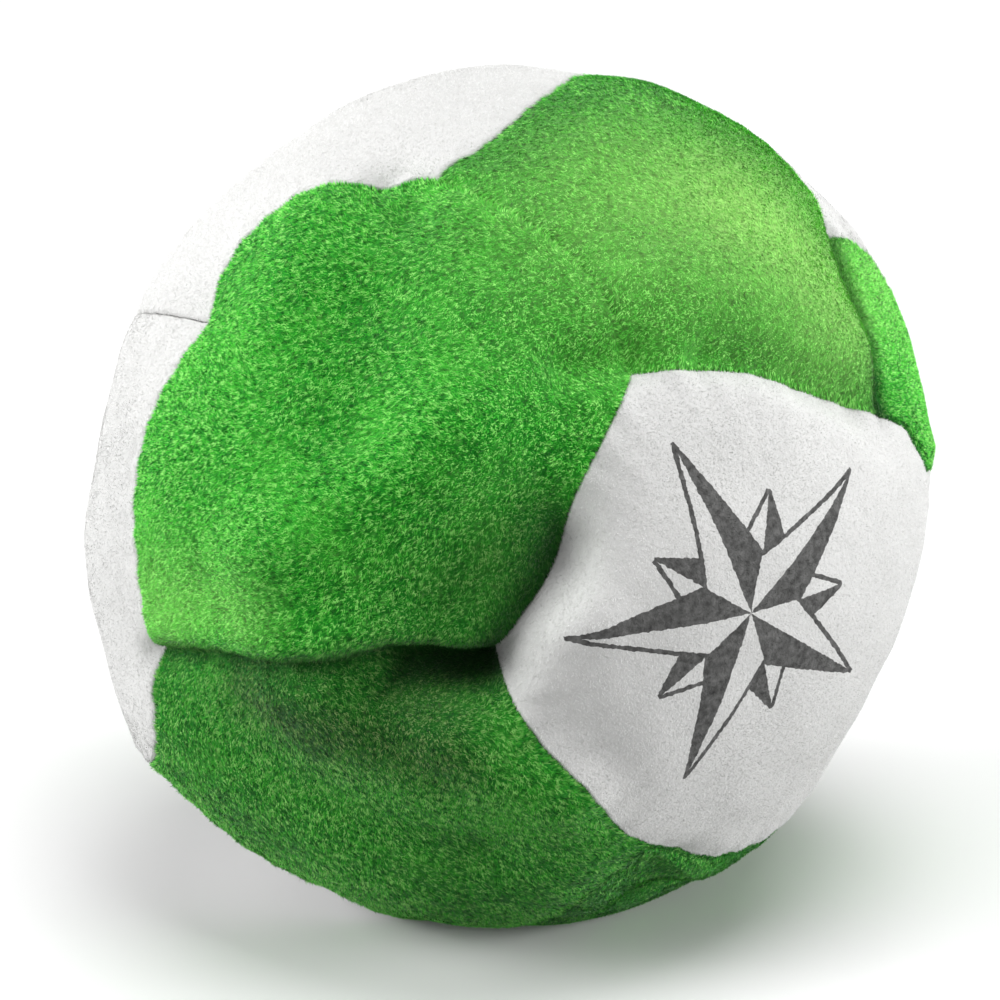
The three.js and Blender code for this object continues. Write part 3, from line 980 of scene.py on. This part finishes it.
def grow_nap(roots, normals, insets, middle, comb, nap, random):
    """Three points for each fibre. comb is the way this panel's nap was combed."""
    count = len(roots)
    level = unit(comb - normals * (normals @ comb)[:, None])
    side = np.cross(normals, level)
    angles = stroke_angles(roots) + random.normal(0, STRAY, count)
    lean_way = level * np.cos(angles)[:, None] + side * np.sin(angles)[:, None]
    on_roll = 1 - smooth_step(insets, *ROLL_FADE)
    over_seam = -middle + (unit(roots) @ middle)[:, None] * unit(roots)
    lean_way = lean_way + unit(over_seam) * (ROLL_PULL * on_roll)[:, None]
    lean_way = unit(lean_way - normals * (lean_way * normals).sum(1, keepdims=True))
    lengths = nap["length"] * (1 + LENGTH_SPREAD_SHARE * random.uniform(-1, 1, count))
    lengths *= 1 + (ROLL_LENGTH_SHARE - 1) * on_roll
    lean = nap["lean"] + LEAN_SPREAD * random.uniform(-1, 1, count)
    fibre = normals * np.cos(lean)[:, None] + lean_way * np.sin(lean)[:, None]
    across = unit(np.cross(normals, lean_way))
    twist = TWIST * random.uniform(-1, 1, count)[:, None]
    broad = across * np.cos(twist) + np.cross(across, fibre) * np.sin(twist)
    broad = broad * (nap["width"] / 2)
    return np.stack([roots - broad, roots + broad, roots + fibre * lengths[:, None]], 1)


# %% [markdown]
# ## Green and white suede
#
# The colour of a nap is in its fibres: dark at the root where little light gets in, bright at the
# tip, and some fibres are brighter or darker than the rest. The blades carry two numbers for that:
# how far up the blade a point is, and the tone of the fibre. The backing under them is the same
# dye in shade. Light and shade are also painted into the colour: a light colour is mixed in where
# light is painted, and a tint darkens it where shade is painted. Folds and creases are darkened
# towards a colour of their own, painted shade. White suede has the same build with a fine grey
# grain. The sheen is the soft light that all nap throws back at a slant.

# %% Suede finish
DEEP_BELOW, DEEP_GAIN = 0.45, 2.2  # a fibre's tone under which it turns deep, and how fast
BRIGHT_ABOVE, BRIGHT_GAIN = 0.62, 2.4
MOTTLE_WAVE = 0.45 * MM  # small patches that are deep or bright
MOTTLE_DEEP_BELOW, MOTTLE_DEEP_GAIN = 0.5, 1.2
MOTTLE_BRIGHT_ABOVE, MOTTLE_BRIGHT_GAIN = 0.54, 1.0
CLOUD_WAVE = 6 * MM  # broad, faint patches
CLOUD_ABOVE, CLOUD_GAIN = 0.5, 0.8
# the most of the colour that the shade painted in folds and creases takes
PAINTED_CREASE_SHADE_SHARE = 0.9
BUMP_WAVE = 0.22 * MM
BUMP_HEIGHT = 0.1 * MM


def grain(nodes, wave):
    """Noise over the object, from 0 to 1, with waves of that length."""
    place = nodes.add("ShaderNodeTexCoord", out="Object")
    return nodes.add(
        "ShaderNodeTexNoise",
        {"noise_dimensions": "3D"},
        {"Vector": place, "Scale": 1 / wave, "Detail": 2.0, "Roughness": 0.55},
    )


def attribute(nodes, name):
    return nodes.add("ShaderNodeAttribute", {"attribute_name": name}, out="Fac")


def suede(name, root, tip, bright, deep, pale, painted_shade_tint, crushed, speckle, sheen, print_on=None):
    """A napped cloth: root and tip are a fibre's ends, bright and deep the odd fibres.

    Light and shade are painted in: a light colour, a darkening tint, and a colour for folds."""
    material, nodes = new_material(name)
    up_the_fibre = attribute(nodes, "up_the_fibre")
    fibre = attribute(nodes, "fibre")
    shade = nodes.mix(up_the_fibre, root, tip)
    shade = nodes.mix((DEEP_BELOW - fibre) * (DEEP_GAIN * speckle), shade, deep)
    shade = nodes.mix((fibre - BRIGHT_ABOVE) * (BRIGHT_GAIN * speckle), shade, bright)
    mottle = grain(nodes, MOTTLE_WAVE)
    shade = nodes.mix((MOTTLE_DEEP_BELOW - mottle) * (MOTTLE_DEEP_GAIN * speckle), shade, deep)
    shade = nodes.mix((mottle - MOTTLE_BRIGHT_ABOVE) * (MOTTLE_BRIGHT_GAIN * speckle), shade, bright)
    cloud = grain(nodes, CLOUD_WAVE)
    shade = nodes.mix((cloud - CLOUD_ABOVE) * CLOUD_GAIN, shade, tip)
    # painted light and shade, by panel and place: a light colour mixed in, a tint that darkens
    brushed = attribute(nodes, "brushed")
    shade = nodes.mix(brushed, shade, pale)
    shade = nodes.mix(-1 * brushed, shade, painted_shade_tint, "MULTIPLY")
    # painted shade: folds and creases darkened towards a colour of their own
    shade = nodes.mix(PAINTED_CREASE_SHADE_SHARE * attribute(nodes, "crushed"), shade, crushed)
    if print_on:
        shade = print_on(nodes, shade)
    height = grain(nodes, BUMP_WAVE)
    heights = {"Strength": 0.5, "Distance": BUMP_HEIGHT, "Height": height}
    bump = nodes.add("ShaderNodeBump", values=heights)
    nodes.principled(
        {
            "Base Color": shade,
            "Roughness": 0.95,
            "Specular IOR Level": 0.15,
            "Sheen Weight": sheen,
            "Sheen Roughness": 0.5,
            "Normal": bump,
        }
    )
    return material


# %% [markdown]
# ## The print on the front panel
#
# One panel is printed in charcoal ink. Here it carries a compass rose, a figure as old as maps:
# five long points and five short ones, each split into a dark and a light half. The ink lies on
# the nap, so its edge is as ragged as the fibres. It could be a picture wrapped on the panel, but
# straight lines are easy sums, and sums stay sharp at any size.

# %% A compass rose in ink
ROSE_RADIUS = 11.2 * MM
ROSE_TURN = math.radians(-20)  # aims two of its points at the panel's corners
SHORT_POINT_SHARE = 0.66
WAIST_SHARE = 0.33
BLUNT_SHARE = 0.96  # of a point's length, where its ink ends
LINE_WIDTH = 0.6 * MM
INK = screen(58, 58, 57)
INK_LEAST, INK_GRAIN = 0.72, 0.35  # how well it covers, and how much that varies
INK_WAVE = 0.4 * MM
RAGGED = 0.2 * MM
RAGGED_WAVE = 0.3 * MM

print_middle = polar(math.radians(3.5), math.radians(155))  # prints land a little off the middle
print_up = unit(np.cross(print_middle, np.cross([0, 0, 1], print_middle)))
print_right = np.cross(print_up, print_middle)


def point_edge(nodes, angle, radius, tip, waist, half_step):
    """Above 0 inside one straight-edged point: angle is from its axis, waist where points meet."""
    along = radius * angle.maths("COSINE", angle)
    aside = radius * angle.maths("SINE", angle)
    waist_along, waist_aside = waist * math.cos(half_step), waist * math.sin(half_step)
    slope = waist_aside / (tip - waist_along)
    return (tip - along) * slope - aside


def compass_rose(nodes, cloth):
    """The cloth's colour with the rose printed on it."""
    place = nodes.add("ShaderNodeTexCoord", out="Object")
    settings = {"Vector": place, "Scale": 1 / RAGGED_WAVE, "Detail": 1.0}
    ragged = nodes.add("ShaderNodeTexNoise", {}, settings, "Color")
    ragged = nodes.vector_maths("SUBTRACT", ragged, (0.5,) * 3)
    ragged = nodes.vector_maths("SCALE", ragged, Scale=RAGGED)
    place = nodes.vector_maths("ADD", place, ragged)
    place = nodes.vector_maths("SUBTRACT", place, tuple(BALL_MIDDLE))

    def measured_along(axis):
        return nodes.vector_maths("DOT_PRODUCT", place, tuple(axis), out="Value")

    across, up = measured_along(print_right), measured_along(print_up)
    radius = (across * across + up * up).maths("SQRT", across * across + up * up)
    angle = up.maths("ARCTAN2", across, up)
    inks = []
    for tip, turn in ((SHORT_POINT_SHARE * ROSE_RADIUS, 0.5), (ROSE_RADIUS, 0)):
        turned = angle + (turn * TURN_STEP + 2 * math.pi - ROSE_TURN)
        around = turned.maths("PINGPONG", turned, TURN_STEP / 2)
        sector = turned.maths("MODULO", turned + TURN_STEP / 2, TURN_STEP)
        right_half = sector > TURN_STEP / 2
        inside = point_edge(nodes, around, radius, tip, WAIST_SHARE * ROSE_RADIUS, TURN_STEP / 2)
        in_point = (inside > 0) * (radius < BLUNT_SHARE * tip)
        inks.append((in_point, inside < LINE_WIDTH / 2, right_half))
    (short_in, short_rim, short_dark), (long_in, long_rim, long_dark) = inks
    short_ink = short_in * short_rim.maths("MAXIMUM", short_rim, short_dark)
    long_ink = long_in * long_rim.maths("MAXIMUM", long_rim, long_dark)
    ink = short_ink * (1 - long_in) + long_ink
    worn = grain(nodes, INK_WAVE) * INK_GRAIN + INK_LEAST
    return nodes.mix((ink * worn).maths("MINIMUM", ink * worn, 1.0), cloth, INK)


# %% The two cloths, and the printed one
green_suede = suede(
    "green_suede",
    root=screen(34, 178, 38),
    tip=screen(106, 240, 76),
    bright=screen(166, 250, 128),
    # colour of the painted light
    pale=screen(190, 244, 134),
    deep=screen(4, 92, 12),
    # tint of the painted shade
    painted_shade_tint=screen(196, 146, 186),
    # colour of the shade painted in folds and creases
    crushed=screen(10, 60, 10),
    speckle=1.0,
    sheen=0.2,
)
WHITE = {
    "root": screen(216, 216, 215),
    "tip": screen(236, 236, 235),
    "bright": screen(243, 243, 242),
    # colour of the painted light, which white panels don't get
    "pale": screen(243, 243, 242),
    "deep": screen(207, 207, 205),
    # tint of the painted shade, which white panels don't get
    "painted_shade_tint": screen(230, 230, 229),
    # colour of the shade painted in folds and creases
    "crushed": screen(185, 185, 184),
    "speckle": 0.6,
    "sheen": 0.1,
}
white_suede = suede("white_suede", **WHITE)
printed_suede = suede("printed_suede", **WHITE, print_on=compass_rose)


# %% [markdown]
# ## Sewing the panels
#
# Each panel becomes one object: its skin, and after it three points for every fibre. A modifier or
# a hair system could scatter the fibres too, but plain triangles look the same in any program that
# reads the mesh. What the finish has to know is kept on the points: how far up a fibre a point is,
# the fibre's tone, the light and shade painted there, and the shade painted in its folds and
# creases. A flat map, unrolled from the panel's middle, leaves its left half to the skin and its
# right half to the fibres, for programs that need the colours as pictures. Handling has combed each
# panel its own way: two are given an axis that their nap lies round, and the rest draw one by chance.

# %% From points and triangles to an object
def new_object(name, points, triangles, material):
    mesh = bpy.data.meshes.new(name)
    mesh.vertices.add(len(points))
    mesh.vertices.foreach_set("co", np.asarray(points, np.float32).ravel())
    mesh.loops.add(triangles.size)
    mesh.loops.foreach_set("vertex_index", triangles.astype(np.int32).ravel())
    mesh.polygons.add(len(triangles))
    mesh.polygons.foreach_set("loop_start", np.arange(0, triangles.size, 3, dtype=np.int32))
    mesh.polygons.foreach_set("use_smooth", np.full(len(triangles), True))
    mesh.materials.append(material)
    mesh.update(calc_edges=True)
    made = bpy.data.objects.new(name, mesh)
    bpy.context.scene.collection.objects.link(made)
    return made


def set_attribute(mesh, name, values):
    mesh.attributes.new(name, "FLOAT", "POINT").data.foreach_set(
        "value", np.asarray(values, np.float32)
    )


# %% A flat map of a panel
MAP_REACH = 1.1 * BALL_RADIUS  # from the panel's middle to the map's edge
MAP_UP = [0.1, 0.2, 1.0]  # parallel to no panel's middle


def flat_map(panel, points):
    """Each point's place on the map, from 0 to 1, unrolled over the face and down the seams."""
    right = unit(np.cross(MAP_UP, panel.middle))
    up = np.cross(panel.middle, right)
    across, along = points @ right, points @ up
    reach = BALL_RADIUS * np.arccos(np.clip(unit(points) @ panel.middle, -1, 1))
    depth = np.maximum(0, BALL_RADIUS - np.linalg.norm(points, axis=1))
    radius = (reach + depth) / MAP_REACH
    size = np.maximum(np.hypot(across, along), 1e-9)
    return np.stack([0.5 + 0.5 * across / size * radius, 0.5 + 0.5 * along / size * radius], 1)


# %% How each panel is combed, and the light and shade painted on it
COMB_AXES = {"front_ring_panel_1": (-0.2, 0.3, 0.9), "front_ring_panel_5": (-0.3, 0.5, 0.6)}
PAINTED_LIGHT_AND_SHADE_BY_PANEL = {  # light and shade painted on a whole panel: below 0 shade, above 0 light
    "front_ring_panel_2": -0.37,
    "front_ring_panel_3": -0.37,
    "front_ring_panel_4": -0.17,
}
PAINTED_LIGHT_AND_SHADE_BY_PLACE = {  # light and shade painted along a line: from, to, half its width, how light (below 0, shade)
    "top": ((57, 92), (62, 38), 10 * MM, 0.3),
    "far right of the top": ((52, 78), (41, 62), 5 * MM, 0.3),
    "low on the big panel": ((88, -176), (70, -178), 4 * MM, 0.2),
    "slope by the print's left corner": ((46, 178), (36, 160), 4 * MM, -0.5),
    "under the crease": ((72, -168), (46, -160), 3.5 * MM, -0.5),
}

# %% Sew the panels
BACKING_TONE = 0.2  # where fibres have theirs: dark, not the darkest
FLOOR_CLEARANCE = 0.02 * MM  # of the fibres under the bag

panel_triangle_count = 0
for number, (name, panel) in enumerate(panels.items()):
    random = np.random.default_rng(number + 1)
    cloth = "green" if name.startswith("front_ring") or name == "rear_panel" else "white"
    nap = NAPS[cloth]
    skin, insets, crushed = skins[name]
    roots, normals, at_roots = roots_on(
        skin, skin_triangles[:outer_triangle_count], nap["per_square_mm"], random
    )
    comb = unit(np.cross(panel.middle, COMB_AXES.get(name, random.normal(size=3))))
    fibre_points = grow_nap(roots, normals, at_roots(insets), panel.middle, comb, nap, random)
    fibre_points = fibre_points.reshape(-1, 3)
    fibre_points[:, 2] = np.maximum(fibre_points[:, 2], -CENTRE_HEIGHT + FLOOR_CLEARANCE)
    fibre_triangles = len(skin) + np.arange(len(fibre_points)).reshape(-1, FIBRE_POINTS)
    points = np.concatenate([skin, fibre_points])
    triangles = np.concatenate([skin_triangles, fibre_triangles])
    finish = {"front_panel": printed_suede}.get(
        name, green_suede if cloth == "green" else white_suede
    )
    piece = new_object(f"{name}_suede", points + BALL_MIDDLE, triangles, finish)
    up_the_fibre = np.concatenate([np.zeros(len(skin)), np.tile(TIP_SHARES, len(roots))])
    set_attribute(piece.data, "up_the_fibre", up_the_fibre)
    tones = np.repeat(fibre_tones(roots, comb, random), FIBRE_POINTS)
    set_attribute(piece.data, "fibre", np.concatenate([np.full(len(skin), BACKING_TONE), tones]))
    # light and shade painted on the green cloth, by place and by panel
    brushed = sum_of(PAINTED_LIGHT_AND_SHADE_BY_PLACE, unit(points)) + PAINTED_LIGHT_AND_SHADE_BY_PANEL.get(name, 0)
    set_attribute(piece.data, "brushed", brushed if cloth == "green" else np.zeros(len(points)))
    # the shade painted in folds and creases, carried from the skin to the fibres
    crushed = np.concatenate([crushed, np.repeat(at_roots(crushed), FIBRE_POINTS)])
    set_attribute(piece.data, "crushed", crushed)
    layout = piece.data.uv_layers.new(name="OFBake")
    places = flat_map(panel, points) * np.array([0.5, 1])
    places[len(skin):, 0] += 0.5
    layout.data.foreach_set("uv", places[triangles.ravel()].astype(np.float32).ravel())
    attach(piece, "root")
    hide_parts(name)
    panel_triangle_count += len(triangles)
print(panel_triangle_count, "triangles in twelve panels with their nap")

# %% [markdown]
# ## Thread
#
# Two plies of pale polyester, twisted, run deep in each seam between the two allowances. One run
# serves several seams where the sewing goes on without a cut: the ring round each end panel, and
# the zigzag between the halves. The last seam of that is closed by hand, with a thread of its own.
# A thread is a tube here whose section has a waist, and the waist turns as the thread goes on.

# %% Which seams each thread closes
thread_runs = {
    "front_ring_thread": [(("front", k), ("front", (k + 1) % SIDES)) for k in range(SIDES)],
    "rear_ring_thread": [(("rear", k), ("rear", (k + 1) % SIDES)) for k in range(SIDES)],
}
zigzag = []
for k in range(SIDES):
    zigzag.append((("front_middle", k), ("rear_middle", k)))
    zigzag.append((("rear_middle", k), ("front_middle", (k + 1) % SIDES)))
closing = zigzag.index((("front_middle", 3), ("rear_middle", 3)))
thread_runs["zigzag_thread"] = zigzag[closing + 1:] + zigzag[:closing]
thread_runs["closing_thread"] = [zigzag[closing]]
for k in range(SIDES):
    thread_runs[f"front_spoke_thread_{k + 1}"] = [(("front", k), ("front_middle", k))]
    thread_runs[f"rear_spoke_thread_{k + 1}"] = [(("rear_middle", k), ("rear", k))]
print(len(thread_runs), "threads")

# %% A twisted thread
THREAD_DEPTH = 0.95 * MM
THREAD_RADIUS = 0.14 * MM
WAIST_DEPTH_SHARE = 0.22  # of the radius, in the valley between the two plies
PLY_PITCH = 0.9 * MM
THREAD_SIDES = 10
THREAD_STEP = 0.2 * MM
THREAD_SETBACK = 1.5 * MM  # from the first and the last corner of a run


def thread_rings(run):
    """Rings of points round a thread, on through all seams of its run."""
    around = np.arange(THREAD_SIDES) / THREAD_SIDES * 2 * math.pi
    rings = []
    walked = 0.0
    for number, ends in enumerate(run):
        seam = seams[ends]
        length = seam.length()
        is_last = number == len(run) - 1
        first = THREAD_SETBACK / length if number == 0 else 0
        last = 1 - THREAD_SETBACK / length if is_last else 1
        share = np.linspace(first, last, max(3, int(length / THREAD_STEP)))
        if not is_last:
            share = share[:-1]  # the next seam starts where this one ends
        out, left, _ = seam.axes(share)
        line = seam.place(share) - out * THREAD_DEPTH
        line = line + unit(line) * relief(unit(line))[:, None] + slide(unit(line))
        turn = (walked + share * length) / PLY_PITCH * math.pi
        waist = 0.5 - 0.5 * np.cos(2 * (around[None] - turn[:, None]))
        radius = THREAD_RADIUS * (1 - WAIST_DEPTH_SHARE * waist)
        section = np.cos(around)[None, :, None] * left[:, None]
        section = section + np.sin(around)[None, :, None] * out[:, None]
        rings.append(line[:, None] + radius[:, :, None] * section)
        walked += length
    return np.concatenate(rings)


def thread_mesh(rings):
    points = np.concatenate([rings.reshape(-1, 3), rings[[0, -1]].mean(1)])
    first_middle, last_middle = len(points) - 2, len(points) - 1
    last_ring = (len(rings) - 1) * THREAD_SIDES
    triangles = []
    for n in range(len(rings) - 1):
        triangles += band_triangles((n + 1) * THREAD_SIDES, n * THREAD_SIDES, THREAD_SIDES)
    for i in range(THREAD_SIDES):
        j = (i + 1) % THREAD_SIDES
        triangles += [(first_middle, j, i), (last_middle, last_ring + i, last_ring + j)]
    return points, np.array(triangles)


# %% Lay the threads in their seams
THREAD_WAVE = 0.3 * MM  # of its shade

thread_material, nodes = new_material("thread")
shade = nodes.mix(grain(nodes, THREAD_WAVE), screen(206, 205, 200), screen(228, 227, 223))
nodes.principled({"Base Color": shade, "Roughness": 0.7})

for name, run in thread_runs.items():
    points, triangles = thread_mesh(thread_rings(run))
    piece = new_object(f"{name}_twisted", points + BALL_MIDDLE, triangles, thread_material)
    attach(piece, "root")
    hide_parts(name)

# %% [markdown]
# ## Pellets
#
# Nothing shows of the filling, but the bag holds it, so it is here: about a thousand plastic
# pellets. A box of balls shaken down packs nearly as tight as a face-centred lattice, so the
# pellets stand on one, a little further apart than they are wide. A pellet stays only where its
# whole width is clear of the cloth. Each is a small flattened ball, turned its own way.

# %% Pellets clear of the cloth
PELLET_DIAMETER = 4 * MM
PELLET_PITCH = 4.15 * MM
PELLET_HEIGHT_SHARE = 0.8
PELLET_CLEARANCE = 0.08 * MM
PELLET_SEED = 99

cloth_trees = [
    BVHTree.FromPolygons(points.tolist(), skin_triangles.tolist()) for points, _, _ in skins.values()
]
random = np.random.default_rng(PELLET_SEED)
cell = PELLET_PITCH * math.sqrt(2)
steps = int(BALL_RADIUS / cell) + 1
whole = np.arange(-steps, steps + 1)
grid = np.stack(np.meshgrid(whole, whole, whole, indexing="ij"), -1).reshape(-1, 3)
faces_of_cell = np.array([[0, 0, 0], [0, 0.5, 0.5], [0.5, 0, 0.5], [0.5, 0.5, 0]])
spots = ((grid[:, None] + faces_of_cell[None]) * cell).reshape(-1, 3)
spots = spots[np.linalg.norm(spots, axis=1) < BALL_RADIUS - PELLET_DIAMETER / 2]
room = PELLET_DIAMETER / 2 + PELLET_CLEARANCE
clear = [all(tree.find_nearest(spot, room)[3] is None for tree in cloth_trees) for spot in spots]
spots = spots[np.array(clear)]
print(len(spots), "pellets")

# %% The pellets as one piece
PELLET_SHADE_WAVE = 3 * MM  # from pellet to pellet

form = bmesh.new()
bmesh.ops.create_icosphere(form, subdivisions=2, radius=PELLET_DIAMETER / 2)
form.verts.ensure_lookup_table()
pellet_points = np.array([vertex.co[:] for vertex in form.verts]) * [1, 1, PELLET_HEIGHT_SHARE]
pellet_triangles = np.array([[vertex.index for vertex in face.verts] for face in form.faces])
form.free()

turned_points = []
for spot in spots:
    turn = Quaternion(unit(random.normal(size=4))).to_matrix()
    turned_points.append(pellet_points @ np.array(turn) + spot)
firsts = np.arange(len(spots))[:, None, None] * len(pellet_points)
triangles = (pellet_triangles[None] + firsts).reshape(-1, 3)

pellet_material, nodes = new_material("pellet_plastic")
shade = nodes.mix(grain(nodes, PELLET_SHADE_WAVE), screen(196, 192, 180), screen(228, 226, 218))
nodes.principled({"Base Color": shade, "Roughness": 0.45})
points = np.concatenate(turned_points) + BALL_MIDDLE
pellets = new_object("pellets", points, triangles, pellet_material)
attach(pellets, "root")
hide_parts("pellet_fill")
